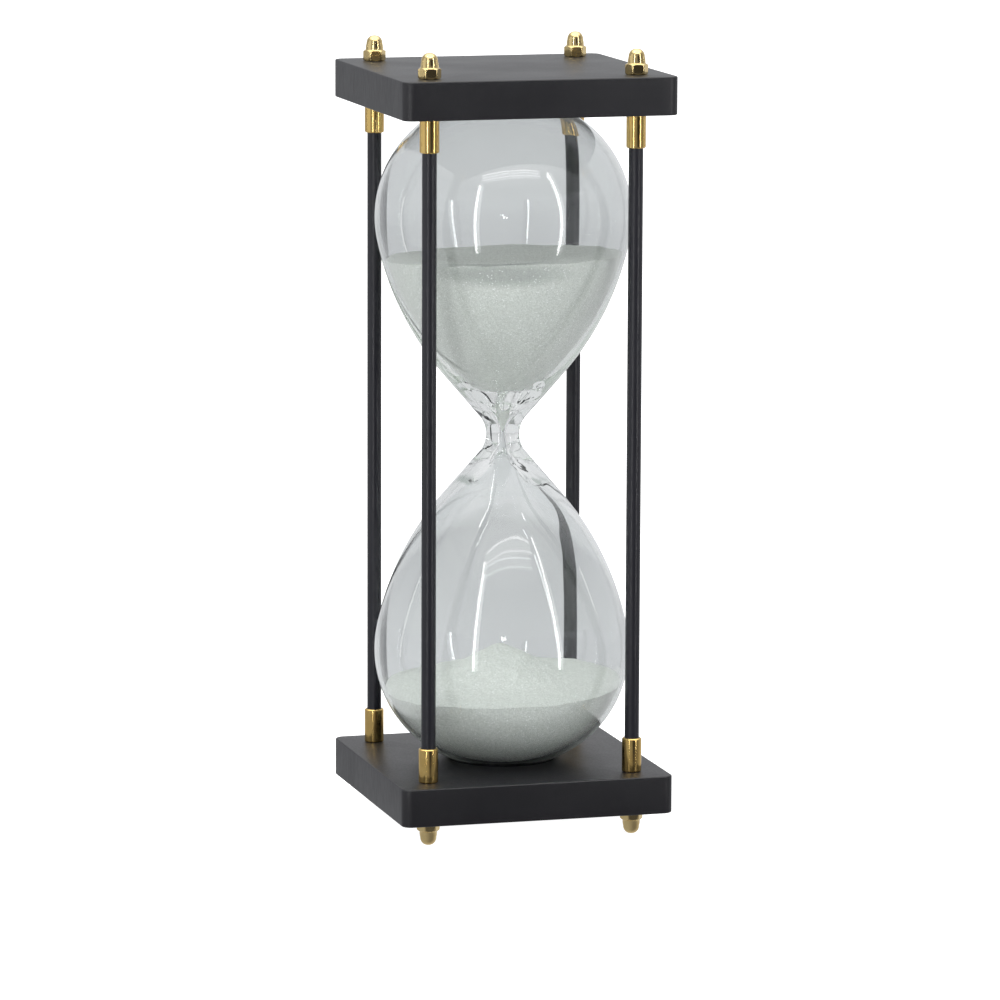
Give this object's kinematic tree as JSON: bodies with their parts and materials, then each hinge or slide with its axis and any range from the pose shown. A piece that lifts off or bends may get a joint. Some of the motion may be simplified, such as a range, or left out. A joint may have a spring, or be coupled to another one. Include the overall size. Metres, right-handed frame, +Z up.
{
  "type": "hourglass",
  "caption": "Free-standing sand hourglass: clear double glass bulb with pale sand between square black plates, tied by black rods with brass ferrules and brass cap nuts.",
  "frame": {"origin": "under the middle of the base, level with the tips of the lower cap nuts that it stands on", "axes": "+Z up through the waist of the glass, front face towards -Y, +X to the right"},
  "size_m": [0.11, 0.11, 0.31],
  "materials": {
    "plate": "wood fibreboard sprayed satin black, edges eased",
    "rod": "black satin lacquer on steel",
    "ferrule": "turned and satin polished",
    "cap_nut": "polished",
    "glass": "clear blown glass with a faint green-grey tint",
    "sand": null,
    "pad": "black closed-cell foam",
    "plug": "white silicone sealing plug"
  },
  "bodies": {
    "root": {"base_plate": "plate", "top_plate": "plate", "glass_bulbs": "glass", "filler_plug": "plug", "lower_seat_pad": "pad", "upper_seat_pad": "pad", "lower_sand": "sand", "upper_sand": "sand", "tie_rod_front_left": "rod", "tie_rod_front_right": "rod", "tie_rod_back_left": "rod", "tie_rod_back_right": "rod", "lower_ferrule_front_left": "ferrule", "lower_ferrule_front_right": "ferrule", "lower_ferrule_back_left": "ferrule", "lower_ferrule_back_right": "ferrule", "upper_ferrule_front_left": "ferrule", "upper_ferrule_front_right": "ferrule", "upper_ferrule_back_left": "ferrule", "upper_ferrule_back_right": "ferrule", "lower_cap_nut_front_left": "cap_nut", "lower_cap_nut_front_right": "cap_nut", "lower_cap_nut_back_left": "cap_nut", "lower_cap_nut_back_right": "cap_nut", "upper_cap_nut_front_left": "cap_nut", "upper_cap_nut_front_right": "cap_nut", "upper_cap_nut_back_left": "cap_nut", "upper_cap_nut_back_right": "cap_nut"}
  },
  "joints": []
}
